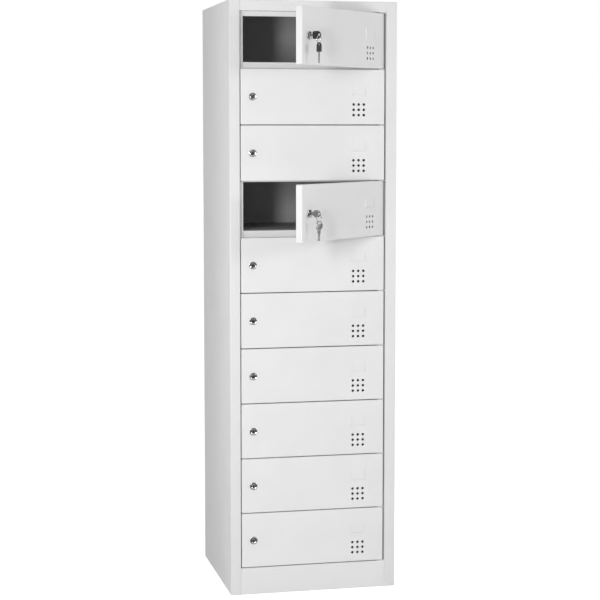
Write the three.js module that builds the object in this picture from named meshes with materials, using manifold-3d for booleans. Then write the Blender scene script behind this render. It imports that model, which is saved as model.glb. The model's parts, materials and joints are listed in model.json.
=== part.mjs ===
// A free-standing sheet-steel charging locker: one column of ten compartments, each behind its own
// hinged door with a cam lock, and a service duct behind them that holds the power rail.
//
// Millimetres, +Z up, front towards -Y. The origin lies on the floor, at mid-width, in the middle of
// the plinth's foot flange. The top door and the fourth door stand ajar, with keys in their locks.

import * as THREE from 'three';
import { mergeVertices } from 'three/addons/utils/BufferGeometryUtils.js';
import Module from 'manifold-3d';

// ---- Driving dimensions ------------------------------------------------------------------------

// Casing
const HEIGHT = 1850;
const WIDTH = 530;
const DEPTH = 500;
const SHEET = 1.2;
const GAP = 0.3;
const LEFT_STILE = 32;
const RIGHT_STILE = 34;
const TOP_RAIL = 33;
const PLINTH = 84;
const FOOT = 30;
const STOP_DEPTH = 24;
const STOP_LIP = 14;
const RETURN_DEPTH = 25;
const LINTEL_DEPTH = 28;
const LINTEL_LIP = 15;
const SILL_DEPTH = 23;

// Compartments and shelves
const COMPARTMENTS = 10;
const SHELF_RISE = 19.5;
const SHELF_DROP = 3;
const SHELF_SETBACK = 28;
const SHELF_HEM = 10;
const DUCT = 45;

// Doors
const DOOR_GAP = 3;
const DOOR_GAP_RIGHT = 5;
const DOOR_THICK = 22;
const DOOR_LIP = 12;
const OPEN_DOORS = [1, 4];
const OPEN_ANGLE = THREE.MathUtils.degToRad(43);
const VENT_RADIUS = 4;
const VENT_PITCH = 16.4;
const VENT_DROP = 124.5;
const FITTINGS_INSET = 88;
const LABEL_WIDTH = 52;
const LABEL_DROP = 49;
const LABEL_HEIGHT = 33;
const LABEL_BAR = 4.5;
const LABEL_STAND = 1.4;

// Hinge pins
const PIN_INSET = 17;
const PIN_DEPTH = 8;
const PIN_RADIUS = 2.5;
const PIN_REACH = 6;
const PIN_HOLE_RADIUS = 3;
const TAB_THICK = 1.5;
const TAB_LENGTH = 23;
const TAB_SETBACK = 1;
const TAB_DEPTH = 15;
const STRIP_THICK = 1.5;
const STRIP_SETBACK = 2;
const STRIP_TABS = [[0, 1, 2], [3, 4, 5], [6, 7, 8], [9, 10]];

// Locks
const LOCK_INSET = 40;
const BEZEL_RADIUS = 12;
const BEZEL_THICK = 2.7;
const BARREL_RADIUS = 9.2;
const BARREL_HOLE_RADIUS = 10;
const BARREL_DEPTH = 21;
const NUT_RADIUS = 13;
const NUT_THICK = 3.5;
const BORE_RADIUS = 6.6;
const PLUG_RADIUS = 6;
const PLUG_RECESS = 0.4;
const CAM_DEPTH = 27;
const CAM_THICK = 2;
const CAM_LENGTH = 35;
const CAM_WIDTH = 14;
const KEYWAY_DEPTH = 24;
const KEYWAY_HEIGHT = 8.4;
const KEYWAY_WIDTH = 1.8;

// Keys and key rings
const KEY_REACH = 38;
const KEY_EYE_INSET = 6;
const BLADE_LENGTH = 22;
const BLADE_HEIGHT = 7.2;
const BLADE_THICK = 1.1;
const COLLAR_WIDTH = 10;
const COLLAR_OVERLAP = 3;
const COLLAR_STAND_OFF = 2;
const STEEL_KEY = { eye: 3.6, width: 22, length: 28, thick: 2.2, spareTurn: 35.4 };
const CAPPED_KEY = { eye: 4, width: 23, length: 28, thick: 4.6, spareTurn: -23.3 };
const RING_RADIUS = 11.5;
const RING_WIRE = 0.8;
const RING_REST = 2;

// Power rail, its outlets and the mains inlet
const RAIL_X = 150;
const RAIL_WIDTH = 46;
const RAIL_DEPTH = 31;
const OUTLET_SIZE = 40;
const OUTLET_STAND = 4;
const OUTLET_DROP = 60;
const PORT_WIDTH = 14;
const PORT_HEIGHT = 7;
const PORT_DEPTH = 12;
const INLET_Z = 45;
const INLET_WIDTH = 27;
const INLET_HEIGHT = 20;
const INLET_DEPTH = 20;
const INLET_WALL = 2;
const INLET_FLANGE = 11;
const INLET_PINS = [[-7, -2], [0, 3], [7, -2]];
const INLET_PIN_WIDTH = 2;
const INLET_PIN_HEIGHT = 5;
const INLET_PIN_RECESS = 3;

// Sides of the round holes and shafts
const FINE_SIDES = 12;
const HOLE_SIDES = 8;

// ---- Places worked out from them ---------------------------------------------------------------

const FRONT = -FOOT / 2;
const BACK = FRONT + DEPTH;
const LEFT = -WIDTH / 2;
const RIGHT = WIDTH / 2;
const OPENING_LEFT = LEFT + LEFT_STILE;
const OPENING_RIGHT = RIGHT - RIGHT_STILE;
const OPENING_TOP = HEIGHT - TOP_RAIL;
const DOOR_PITCH = (OPENING_TOP - PLINTH - DOOR_GAP) / COMPARTMENTS;
const DOOR_HEIGHT = DOOR_PITCH - DOOR_GAP;
const DOOR_LEFT = OPENING_LEFT + DOOR_GAP;
const DOOR_RIGHT = OPENING_RIGHT - DOOR_GAP_RIGHT;
const PIN_X = OPENING_RIGHT - PIN_INSET;
const PIN_Y = FRONT + PIN_DEPTH;
const LOCK_X = OPENING_LEFT + LOCK_INSET;
const FITTINGS_X = OPENING_RIGHT - FITTINGS_INSET;
const INNER_LEFT = LEFT + SHEET + GAP;
const INNER_RIGHT = RIGHT - SHEET - GAP;
const WALL_Y = BACK - DUCT;

// Height of the gap under door number k, with k = 0 for the gap over the top door.
const gapHeight = (k) => OPENING_TOP - DOOR_GAP / 2 - k * DOOR_PITCH;
const doorMiddle = (n) => (gapHeight(n - 1) + gapHeight(n)) / 2;

// ---- Solid helpers -----------------------------------------------------------------------------

const wasm = await Module();
wasm.setup();

function solidOf(geometry) {
  const bare = geometry.clone();
  bare.deleteAttribute('normal');
  bare.deleteAttribute('uv');
  const merged = mergeVertices(bare, 1e-4);
  const mesh = new wasm.Mesh({
    numProp: 3,
    vertProperties: Float32Array.from(merged.attributes.position.array),
    triVerts: Uint32Array.from(merged.index.array),
  });
  return new wasm.Manifold(mesh);
}

function geometryOf(solid) {
  const mesh = solid.getMesh();
  const geometry = new THREE.BufferGeometry();
  geometry.setAttribute('position', new THREE.BufferAttribute(mesh.vertProperties, 3));
  geometry.setIndex(new THREE.BufferAttribute(mesh.triVerts, 1));
  geometry.computeVertexNormals();
  return geometry;
}

function join(first, ...others) {
  const whole = others.reduce((sum, piece) => sum.add(solidOf(piece)), solidOf(first));
  return geometryOf(whole);
}

function cut(base, ...tools) {
  const rest = tools.reduce((left, tool) => left.subtract(solidOf(tool)), solidOf(base));
  return geometryOf(rest);
}

// A box between two opposite corners.
function block(x0, x1, y0, y1, z0, z1) {
  const box = new THREE.BoxGeometry(x1 - x0, y1 - y0, z1 - z0);
  return box.translate((x0 + x1) / 2, (y0 + y1) / 2, (z0 + z1) / 2);
}

// A round bar along Y.
function barY(x, z, radius, y0, y1, sides) {
  const bar = new THREE.CylinderGeometry(radius, radius, y1 - y0, sides);
  return bar.translate(x, (y0 + y1) / 2, z);
}

// A round bar along Z.
function barZ(x, y, radius, z0, z1, sides) {
  const bar = new THREE.CylinderGeometry(radius, radius, z1 - z0, sides).rotateX(Math.PI / 2);
  return bar.translate(x, y, (z0 + z1) / 2);
}

// The outline of a sheet bent along a polyline. The polyline is the sheet's outer face, and the
// metal lies on its left. Corners are mitred.
function foldedOutline(points) {
  const line = points.map(([a, b]) => new THREE.Vector2(a, b));
  const normals = line.slice(1).map((point, i) => {
    const along = point.clone().sub(line[i]).normalize();
    return new THREE.Vector2(-along.y, along.x);
  });
  const inner = line.map((point, i) => {
    const before = normals[Math.max(i - 1, 0)];
    const after = normals[Math.min(i, normals.length - 1)];
    const mitre = before.clone().add(after).multiplyScalar(SHEET / (1 + before.dot(after)));
    return point.clone().add(mitre);
  });
  return new THREE.Shape([...line, ...inner.reverse()]);
}

// A bent sheet whose section lies in the XY plane, running up from z0 to z1.
function uprightSheet(points, z0, z1) {
  const options = { depth: z1 - z0, bevelEnabled: false };
  return new THREE.ExtrudeGeometry(foldedOutline(points), options).translate(0, 0, z0);
}

// A bent sheet whose section lies in the YZ plane, running across from x0 to x1.
function crosswiseSheet(points, x0, x1) {
  const options = { depth: x1 - x0, bevelEnabled: false };
  const sheet = new THREE.ExtrudeGeometry(foldedOutline(points), options);
  const turn = new THREE.Matrix4().makeBasis(
    new THREE.Vector3(0, 1, 0),
    new THREE.Vector3(0, 0, 1),
    new THREE.Vector3(1, 0, 0),
  );
  return sheet.applyMatrix4(turn).translate(x0, 0, 0);
}

// ---- Finishes ----------------------------------------------------------------------------------

const enamel = (color) => new THREE.MeshStandardMaterial({ color, roughness: 0.5, metalness: 0 });
const metal = (color, roughness) =>
  new THREE.MeshStandardMaterial({ color, roughness, metalness: 1 });
const plastic = (color) => new THREE.MeshStandardMaterial({ color, roughness: 0.45, metalness: 0 });

const CASING_WHITE = 0xe6e6e6;
const INNER_GREY = 0xacacaa;
const ZINC = 0xb4b4b2;
const CHROME = 0xd0d0d0;
const BLACK = 0x1c1c1c;

// ---- Casing ------------------------------------------------------------------------------------

// Side, stile, return and stop lip bent from one sheet. The door closes against the stop lip, and
// the lock's cam hooks behind it. The return is notched under the top panel, and the stop lip ends
// above the plinth.
function leftSidePanel() {
  const stop = FRONT + STOP_DEPTH;
  const sheet = uprightSheet([
    [LEFT, BACK],
    [LEFT, FRONT],
    [OPENING_LEFT, FRONT],
    [OPENING_LEFT, stop],
    [OPENING_LEFT + STOP_LIP, stop],
  ], 0, HEIGHT);
  const notch = block(
    INNER_LEFT, OPENING_LEFT + STOP_LIP + 1,
    FRONT + SHEET + GAP, stop + SHEET + GAP,
    OPENING_TOP - GAP, HEIGHT + 1,
  );
  const footNotch = block(
    OPENING_LEFT, OPENING_LEFT + STOP_LIP + 1, stop - 1, stop + SHEET + 1, -1, PLINTH + GAP,
  );
  return cut(sheet, notch, footNotch);
}

// The same without a stop lip: this is the hinge side.
function rightSidePanel() {
  const sheet = uprightSheet([
    [OPENING_RIGHT, FRONT + RETURN_DEPTH],
    [OPENING_RIGHT, FRONT],
    [RIGHT, FRONT],
    [RIGHT, BACK],
  ], 0, HEIGHT);
  const notch = block(
    OPENING_RIGHT - 1, INNER_RIGHT,
    FRONT + SHEET + GAP, FRONT + RETURN_DEPTH + GAP,
    OPENING_TOP - GAP, HEIGHT + 1,
  );
  return cut(sheet, notch);
}

// Top sheet, front rail, return and lintel lip bent from one sheet, with its front corners cut out
// for the stiles.
function topPanel() {
  const lintel = FRONT + LINTEL_DEPTH;
  const sheet = crosswiseSheet([
    [BACK - SHEET - GAP, HEIGHT],
    [FRONT, HEIGHT],
    [FRONT, OPENING_TOP],
    [lintel, OPENING_TOP],
    [lintel, OPENING_TOP - LINTEL_LIP],
  ], INNER_LEFT, INNER_RIGHT);
  const corner = (x0, x1) => block(
    x0, x1, FRONT - 1, FRONT + SHEET + GAP, OPENING_TOP - 1, HEIGHT + 1,
  );
  return cut(
    sheet,
    corner(INNER_LEFT - 1, OPENING_LEFT + GAP),
    corner(OPENING_RIGHT - GAP, INNER_RIGHT + 1),
  );
}

// Kick panel between the stiles, with a sill folded back at the top and a foot at the floor.
function plinth() {
  return crosswiseSheet([
    [FRONT + SILL_DEPTH, PLINTH],
    [FRONT, PLINTH],
    [FRONT, 0],
    [FRONT + FOOT, 0],
  ], OPENING_LEFT + GAP, OPENING_RIGHT - GAP);
}

// A flat sheet with one cut-out for the mains inlet.
function backPanel() {
  const sheet = block(INNER_LEFT, INNER_RIGHT, BACK - SHEET, BACK, 0, HEIGHT);
  const inletHole = block(
    RAIL_X - INLET_WIDTH / 2 - GAP, RAIL_X + INLET_WIDTH / 2 + GAP,
    BACK - SHEET - 1, BACK + 1,
    INLET_Z - INLET_HEIGHT / 2 - GAP, INLET_Z + INLET_HEIGHT / 2 + GAP,
  );
  return cut(sheet, inletHole);
}

// A compartment floor: a tray, a front flange that covers the gap between two doors from behind,
// and a hem. It is modelled with the middle of that gap at z = 0.
function shelf() {
  const front = FRONT + SHELF_SETBACK;
  const rear = WALL_Y - GAP;
  return crosswiseSheet([
    [rear, SHELF_RISE],
    [front, SHELF_RISE],
    [front, -SHELF_DROP],
    [front + SHELF_HEM, -SHELF_DROP],
  ], INNER_LEFT, INNER_RIGHT);
}

const outletMiddle = (n) => doorMiddle(n) + DOOR_HEIGHT / 2 - OUTLET_DROP;

// The compartments' rear wall, with a window for each outlet. The service duct is behind it.
function innerRearWall() {
  const sheet = block(
    INNER_LEFT, INNER_RIGHT, WALL_Y, WALL_Y + SHEET, PLINTH, HEIGHT - SHEET - GAP,
  );
  const half = OUTLET_SIZE / 2 + GAP;
  const windows = [];
  for (let n = 1; n <= COMPARTMENTS; n += 1) {
    windows.push(block(
      RAIL_X - half, RAIL_X + half,
      WALL_Y - 1, WALL_Y + SHEET + 1,
      outletMiddle(n) - half, outletMiddle(n) + half,
    ));
  }
  return cut(sheet, ...windows);
}

// ---- Power -------------------------------------------------------------------------------------

// A long distribution rail with one outlet block for each compartment, each with one charging port.
function powerRail() {
  const face = WALL_Y + SHEET + GAP;
  const body = block(
    RAIL_X - RAIL_WIDTH / 2, RAIL_X + RAIL_WIDTH / 2,
    face, face + RAIL_DEPTH,
    outletMiddle(COMPARTMENTS) - RAIL_WIDTH, outletMiddle(1) + RAIL_WIDTH,
  );
  const outlets = [];
  const ports = [];
  for (let n = 1; n <= COMPARTMENTS; n += 1) {
    const z = outletMiddle(n);
    const outletFace = WALL_Y - OUTLET_STAND;
    outlets.push(block(
      RAIL_X - OUTLET_SIZE / 2, RAIL_X + OUTLET_SIZE / 2,
      outletFace, face + 1,
      z - OUTLET_SIZE / 2, z + OUTLET_SIZE / 2,
    ));
    ports.push(block(
      RAIL_X - PORT_WIDTH / 2, RAIL_X + PORT_WIDTH / 2,
      outletFace - 1, outletFace + PORT_DEPTH,
      z - PORT_HEIGHT / 2, z + PORT_HEIGHT / 2,
    ));
  }
  return cut(join(body, ...outlets), ...ports);
}

// A three-pin mains inlet in a recess. Its flange is behind the back panel, and its mouth stays
// just below the back panel's outer face.
function mainsInlet() {
  const mouth = BACK - GAP;
  const floor = mouth - INLET_DEPTH;
  const box = (width, height, y0, y1) => block(
    RAIL_X - width / 2, RAIL_X + width / 2, y0, y1, INLET_Z - height / 2, INLET_Z + height / 2,
  );
  const body = box(INLET_WIDTH, INLET_HEIGHT, floor, mouth);
  const flangeBack = BACK - SHEET - GAP;
  const flange = box(
    INLET_WIDTH + 2 * INLET_FLANGE, INLET_HEIGHT + INLET_FLANGE, flangeBack - INLET_WALL, flangeBack,
  );
  const recess = box(
    INLET_WIDTH - 2 * INLET_WALL, INLET_HEIGHT - 2 * INLET_WALL, floor + INLET_WALL, mouth + 1,
  );
  const pins = INLET_PINS.map(([dx, dz]) => {
    const pin = block(
      -INLET_PIN_WIDTH / 2, INLET_PIN_WIDTH / 2,
      floor + INLET_WALL / 2, mouth - INLET_PIN_RECESS,
      -INLET_PIN_HEIGHT / 2, INLET_PIN_HEIGHT / 2,
    );
    return pin.translate(RAIL_X + dx, 0, INLET_Z + dz);
  });
  return join(cut(join(body, flange), recess), ...pins);
}

// ---- Doors -------------------------------------------------------------------------------------

// One length of the flat strip welded inside the right stile, with a tab and a pivot pin in each of
// the gaps between doors that it passes. Two lengths meet midway between their nearest tabs.
function hingeStrip(gaps) {
  const stripRight = OPENING_RIGHT - GAP;
  const first = gaps[0];
  const last = gaps[gaps.length - 1];
  const top = first === 0 ? OPENING_TOP - GAP : gapHeight(first - 0.5) - GAP / 2;
  const bottom = last === COMPARTMENTS ? PLINTH + GAP : gapHeight(last + 0.5) + GAP / 2;
  const strip = block(
    stripRight - STRIP_THICK, stripRight,
    FRONT + STRIP_SETBACK, FRONT + DOOR_THICK,
    bottom, top,
  );
  const pieces = [];
  for (const k of gaps) {
    const z = gapHeight(k);
    pieces.push(block(
      stripRight - TAB_LENGTH, stripRight - STRIP_THICK / 2,
      FRONT + TAB_SETBACK, FRONT + TAB_SETBACK + TAB_DEPTH,
      z - TAB_THICK / 2, z + TAB_THICK / 2,
    ));
    const pinTop = k === 0 ? z : z + TAB_THICK / 2 + PIN_REACH;
    const pinBottom = k === COMPARTMENTS ? z : z - TAB_THICK / 2 - PIN_REACH;
    pieces.push(barZ(PIN_X, PIN_Y, PIN_RADIUS, pinBottom, pinTop, FINE_SIDES));
  }
  return join(strip, ...pieces);
}

// A pan with returns on all four sides and a lip turned inwards round its rear, a lock hole, nine
// vent holes, pivot holes in its top and bottom returns, and a raised holder for a label, open at
// the top. Its middle height is z = 0.
function door() {
  const half = DOOR_HEIGHT / 2;
  const rear = FRONT + DOOR_THICK;
  const shell = block(DOOR_LEFT, DOOR_RIGHT, FRONT, rear, -half, half);
  const hollow = block(
    DOOR_LEFT + SHEET, DOOR_RIGHT - SHEET,
    FRONT + SHEET, rear - SHEET,
    -half + SHEET, half - SHEET,
  );
  const mouth = block(
    DOOR_LEFT + DOOR_LIP, DOOR_RIGHT - DOOR_LIP,
    rear - SHEET - 1, rear + 1,
    -half + DOOR_LIP, half - DOOR_LIP,
  );
  const holes = [
    barY(LOCK_X, 0, BARREL_HOLE_RADIUS, FRONT - 1, FRONT + SHEET + 1, FINE_SIDES),
    barZ(PIN_X, PIN_Y, PIN_HOLE_RADIUS, -half - 1, -half + SHEET + 1, FINE_SIDES),
    barZ(PIN_X, PIN_Y, PIN_HOLE_RADIUS, half - SHEET - 1, half + 1, FINE_SIDES),
  ];
  for (const column of [-1, 0, 1]) {
    for (const row of [-1, 0, 1]) {
      const x = FITTINGS_X + column * VENT_PITCH;
      const z = half - VENT_DROP + row * VENT_PITCH;
      holes.push(barY(x, z, VENT_RADIUS, FRONT - 1, FRONT + SHEET + 1, HOLE_SIDES));
    }
  }
  const labelTop = half - LABEL_DROP;
  const labelBottom = labelTop - LABEL_HEIGHT;
  const labelLeft = FITTINGS_X - LABEL_WIDTH / 2;
  const labelRight = FITTINGS_X + LABEL_WIDTH / 2;
  const bar = (x0, x1, z1) => block(
    x0, x1, FRONT - LABEL_STAND, FRONT + SHEET / 2, labelBottom, z1,
  );
  const holder = [
    bar(labelLeft, labelLeft + LABEL_BAR, labelTop),
    bar(labelRight - LABEL_BAR, labelRight, labelTop),
    bar(labelLeft, labelRight, labelBottom + LABEL_BAR),
  ];
  return join(cut(shell, hollow, mouth, ...holes), ...holder);
}

// ---- Locks -------------------------------------------------------------------------------------

// Turned body about the lock's axis: bezel in front of the door, threaded barrel and clamping nut
// behind it. The lock's axis is x = 0, z = 0.
function lockHousing() {
  const profile = [
    [BORE_RADIUS, -BEZEL_THICK - GAP],
    [BEZEL_RADIUS - 1, -BEZEL_THICK - GAP],
    [BEZEL_RADIUS, -BEZEL_THICK - GAP + 1],
    [BEZEL_RADIUS, -GAP],
    [BARREL_RADIUS, -GAP],
    [BARREL_RADIUS, SHEET + GAP],
    [NUT_RADIUS, SHEET + GAP],
    [NUT_RADIUS, SHEET + GAP + NUT_THICK],
    [BARREL_RADIUS, SHEET + GAP + NUT_THICK],
    [BARREL_RADIUS, BARREL_DEPTH],
    [BORE_RADIUS, BARREL_DEPTH],
    [BORE_RADIUS, -BEZEL_THICK - GAP],
  ];
  const points = profile.map(([radius, depth]) => new THREE.Vector2(radius, FRONT + depth));
  return new THREE.LatheGeometry(points, FINE_SIDES);
}

// The turning plug with its keyway and, on its inner end, the cam, which hangs down when unlocked.
function lockPlug() {
  const face = FRONT - BEZEL_THICK - GAP + PLUG_RECESS;
  const camFront = FRONT + CAM_DEPTH;
  const camBack = camFront + CAM_THICK;
  const half = CAM_WIDTH / 2;
  const plug = barY(0, 0, PLUG_RADIUS, face, camFront + CAM_THICK / 2, FINE_SIDES);
  const arm = block(-half, half, camFront, camBack, half - CAM_LENGTH, 0);
  const root = barY(0, 0, half, camFront, camBack, FINE_SIDES);
  const tip = barY(0, half - CAM_LENGTH, half, camFront, camBack, FINE_SIDES);
  const keyway = block(
    -KEYWAY_WIDTH / 2, KEYWAY_WIDTH / 2,
    face - 1, face + KEYWAY_DEPTH,
    -KEYWAY_HEIGHT / 2, KEYWAY_HEIGHT / 2,
  );
  return cut(join(plug, arm, root, tip), keyway);
}

// ---- Keys --------------------------------------------------------------------------------------

// A key is modelled hanging: eye at the origin, blade down, flat in the YZ plane.
const SHOULDER = KEY_REACH - KEY_EYE_INSET;

function blade(top) {
  return block(
    -BLADE_THICK / 2, BLADE_THICK / 2,
    -BLADE_HEIGHT / 2, BLADE_HEIGHT / 2,
    -SHOULDER - BLADE_LENGTH, top,
  );
}

// An oval bow of sheet steel with a collar and a blade.
function steelKey() {
  const { eye, width, length, thick } = STEEL_KEY;
  const middle = KEY_EYE_INSET - length / 2;
  const oval = new THREE.CylinderGeometry(1, 1, thick, 20).rotateZ(Math.PI / 2);
  oval.scale(1, width / 2, length / 2).translate(0, 0, middle);
  const collar = block(
    -thick / 2, thick / 2,
    -COLLAR_WIDTH / 2, COLLAR_WIDTH / 2,
    -SHOULDER + COLLAR_STAND_OFF, middle - length / 2 + COLLAR_OVERLAP,
  );
  const eyeHole = new THREE.CylinderGeometry(eye, eye, thick + 2, FINE_SIDES).rotateZ(Math.PI / 2);
  return cut(join(oval, collar, blade(middle - length / 2)), eyeHole);
}

// A moulded head, round at its outer end, on a steel blade.
function cappedKey() {
  const { eye, width, length, thick } = CAPPED_KEY;
  const half = width / 2;
  const top = KEY_EYE_INSET - half;
  const round = new THREE.CylinderGeometry(half, half, thick, FINE_SIDES).rotateZ(Math.PI / 2);
  round.translate(0, 0, top);
  const head = block(-thick / 2, thick / 2, -half, half, KEY_EYE_INSET - length, top);
  const eyeHole = new THREE.CylinderGeometry(eye, eye, thick + 2, FINE_SIDES).rotateZ(Math.PI / 2);
  return cut(join(head, round, blade(KEY_EYE_INSET - length + 1)), eyeHole);
}

// A wire ring in the XZ plane, centred on the origin.
function keyRing() {
  return new THREE.TorusGeometry(RING_RADIUS, RING_WIRE, 6, 24).rotateX(Math.PI / 2);
}

// ---- Assembly ----------------------------------------------------------------------------------

const locker = new THREE.Group();

function addPiece(parent, name, geometry, material) {
  const mesh = new THREE.Mesh(geometry, material);
  mesh.name = name;
  parent.add(mesh);
  return mesh;
}

// A group that turns its children about the door's hinge pin and leaves them in locker coordinates.
function hingedGroup(angle) {
  const pivot = new THREE.Group();
  pivot.position.set(PIN_X, PIN_Y, 0);
  pivot.rotation.z = angle;
  const inside = new THREE.Group();
  inside.position.set(-PIN_X, -PIN_Y, 0);
  pivot.add(inside);
  locker.add(pivot);
  return inside;
}

function addCasing() {
  addPiece(locker, 'left_side_panel', leftSidePanel(), enamel(CASING_WHITE));
  addPiece(locker, 'right_side_panel', rightSidePanel(), enamel(CASING_WHITE));
  addPiece(locker, 'top_panel', topPanel(), enamel(CASING_WHITE));
  addPiece(locker, 'back_panel', backPanel(), enamel(CASING_WHITE));
  addPiece(locker, 'plinth', plinth(), enamel(CASING_WHITE));
  addPiece(locker, 'inner_rear_wall', innerRearWall(), enamel(INNER_GREY));
  STRIP_TABS.forEach((gaps, i) => {
    addPiece(locker, `hinge_strip_${i + 1}`, hingeStrip(gaps), enamel(CASING_WHITE));
  });
  const tray = shelf();
  for (let n = 1; n <= COMPARTMENTS; n += 1) {
    const name = n === COMPARTMENTS ? 'bottom_panel' : `shelf_${n}`;
    addPiece(locker, name, tray, enamel(INNER_GREY)).position.z = gapHeight(n);
  }
}

function addPower() {
  addPiece(locker, 'power_rail', powerRail(), plastic(BLACK));
  addPiece(locker, 'mains_inlet', mainsInlet(), plastic(BLACK));
}

// The key in the lock, the ring through its eye, and the spare key on the ring, turned a little on
// it.
function addKeys(inside, n, keyGeometry, { eye, spareTurn }, material) {
  const lockFace = FRONT - BEZEL_THICK - GAP + PLUG_RECESS;
  const eyeY = lockFace - SHOULDER;
  const wireTop = doorMiddle(n) - eye + RING_REST;
  const wireBottom = wireTop - 2 * RING_RADIUS;
  const key = addPiece(inside, `key_${n}`, keyGeometry, material());
  key.position.set(LOCK_X, eyeY, doorMiddle(n));
  key.rotation.x = Math.PI / 2;
  const ring = addPiece(inside, `key_ring_${n}`, keyRing(), metal(CHROME, 0.2));
  ring.position.set(LOCK_X, eyeY, wireTop - RING_RADIUS);
  const spare = addPiece(inside, `spare_key_${n}`, keyGeometry, material());
  spare.position.set(LOCK_X, eyeY, wireBottom - eye + RING_REST);
  spare.rotation.z = THREE.MathUtils.degToRad(spareTurn);
}

function addDoors() {
  const pan = door();
  const housing = lockHousing();
  const plug = lockPlug();
  for (let n = 1; n <= COMPARTMENTS; n += 1) {
    const inside = hingedGroup(OPEN_DOORS.includes(n) ? OPEN_ANGLE : 0);
    addPiece(inside, `door_${n}`, pan, enamel(CASING_WHITE)).position.z = doorMiddle(n);
    const fixed = addPiece(inside, `lock_housing_${n}`, housing, metal(CHROME, 0.25));
    fixed.position.set(LOCK_X, 0, doorMiddle(n));
    const turning = addPiece(inside, `lock_plug_${n}`, plug, metal(ZINC, 0.35));
    turning.position.set(LOCK_X, 0, doorMiddle(n));
    if (n === OPEN_DOORS[0]) {
      addKeys(inside, n, cappedKey(), CAPPED_KEY, () => plastic(BLACK));
    }
    if (n === OPEN_DOORS[1]) {
      addKeys(inside, n, steelKey(), STEEL_KEY, () => metal(ZINC, 0.3));
    }
  }
}

addCasing();
addPower();
addDoors();

export default locker;
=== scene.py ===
import json
import math

import bmesh
import bpy
from mathutils import Matrix, Vector


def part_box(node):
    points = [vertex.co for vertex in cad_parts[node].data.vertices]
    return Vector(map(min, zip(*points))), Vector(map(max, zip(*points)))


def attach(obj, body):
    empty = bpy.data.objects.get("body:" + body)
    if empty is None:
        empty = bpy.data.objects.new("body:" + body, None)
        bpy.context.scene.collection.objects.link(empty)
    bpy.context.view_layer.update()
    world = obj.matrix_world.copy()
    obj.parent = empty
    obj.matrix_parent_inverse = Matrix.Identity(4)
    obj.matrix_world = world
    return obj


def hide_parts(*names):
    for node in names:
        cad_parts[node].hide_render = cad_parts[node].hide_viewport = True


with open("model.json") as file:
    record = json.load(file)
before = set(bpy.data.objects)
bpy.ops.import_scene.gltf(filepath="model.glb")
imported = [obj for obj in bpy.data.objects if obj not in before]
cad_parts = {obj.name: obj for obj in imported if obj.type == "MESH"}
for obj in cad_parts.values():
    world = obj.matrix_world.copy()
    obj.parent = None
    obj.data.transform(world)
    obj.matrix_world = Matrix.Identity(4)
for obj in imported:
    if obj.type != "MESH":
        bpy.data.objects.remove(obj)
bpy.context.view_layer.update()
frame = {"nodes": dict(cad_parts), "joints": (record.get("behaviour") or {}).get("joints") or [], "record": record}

# A sheet-steel charging locker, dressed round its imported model. Meshes are made in millimetres, in
# the frame's own directions, and scaled to metres when they become objects.
MM = 0.001
# How far a cutting tool reaches past what it cuts.
OVERCUT = 1

# ---- Places read from the frame ----


def box_mm(node):
    low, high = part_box(node)
    return low / MM, high / MM


def joint(name):
    return next(j for j in frame["joints"] if j["name"] == name)


def numbered(prefix):
    """The numbers of the nodes whose name is the prefix and a number, in order."""
    ends = [name.removeprefix(prefix) for name in frame["nodes"] if name.startswith(prefix)]
    return sorted(int(end) for end in ends if end.isdigit())


DOORS = numbered("door_")
KEYED = numbered("key_")
SHELVES = [f"shelf_{n}" for n in numbered("shelf_")] + ["bottom_panel"]
CAPPED_DOOR = min(KEYED)
CLOSED_DOOR = min(n for n in DOORS if n not in KEYED)

SHEET = 1.2
GAP = 0.3
LINTEL_LIP = 15
LINTEL_DEPTH = 28
STOP_DEPTH = 24
RETURN_DEPTH = 25

left_low, left_high = box_mm("left_side_panel")
right_high = box_mm("right_side_panel")[1]
plinth_low, plinth_high = box_mm("plinth")
top_low = box_mm("top_panel")[0]
door_low, door_high = box_mm(f"door_{CLOSED_DOOR}")

LEFT = left_low.x
RIGHT = right_high.x
FRONT = left_low.y
BACK = left_high.y
HEIGHT = left_high.z
OPENING_LEFT = plinth_low.x - GAP
OPENING_RIGHT = plinth_high.x + GAP
OPENING_TOP = top_low.z + LINTEL_LIP
INNER_LEFT = LEFT + SHEET + GAP
INNER_RIGHT = RIGHT - SHEET - GAP
DOOR_REAR = door_high.y
DOOR_HALF = (door_high.z - door_low.z) / 2
DOOR_GAP = 3
FIRST_GAP = OPENING_TOP - DOOR_GAP / 2
DOOR_PITCH = (OPENING_TOP - plinth_high.z - DOOR_GAP) / len(DOORS)
PIN_X = joint(f"door_{CLOSED_DOOR}_hinge")["pos_m"][0] / MM
PIN_Y = joint(f"door_{CLOSED_DOOR}_hinge")["pos_m"][1] / MM
LOCK_X = joint(f"lock_{CLOSED_DOOR}_turn")["pos_m"][0] / MM


# ---- Mesh helpers ----


WELD_DISTANCE = 1e-6


def linked(name, data):
    """A new object in the scene for a mesh, curve, lamp or camera."""
    obj = bpy.data.objects.new(name, data)
    bpy.context.scene.collection.objects.link(obj)
    return obj


def turn_outwards(mesh):
    """Welds points that coincide and turns the faces outwards."""
    work = bmesh.new()
    work.from_mesh(mesh)
    bmesh.ops.remove_doubles(work, verts=work.verts, dist=WELD_DISTANCE)
    bmesh.ops.recalc_face_normals(work, faces=work.faces)
    work.to_mesh(mesh)
    work.free()


def make(name, points, faces):
    """An object from points in millimetres, with its faces turned outwards."""
    mesh = bpy.data.meshes.new(name)
    mesh.from_pydata([Vector(p) * MM for p in points], [], faces)
    turn_outwards(mesh)
    return linked(name, mesh)


def bake(obj):
    """Turns the object's modifiers into mesh."""
    graph = bpy.context.evaluated_depsgraph_get()
    mesh = bpy.data.meshes.new_from_object(obj.evaluated_get(graph))
    obj.modifiers.clear()
    obj.data = mesh
    return obj


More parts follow.
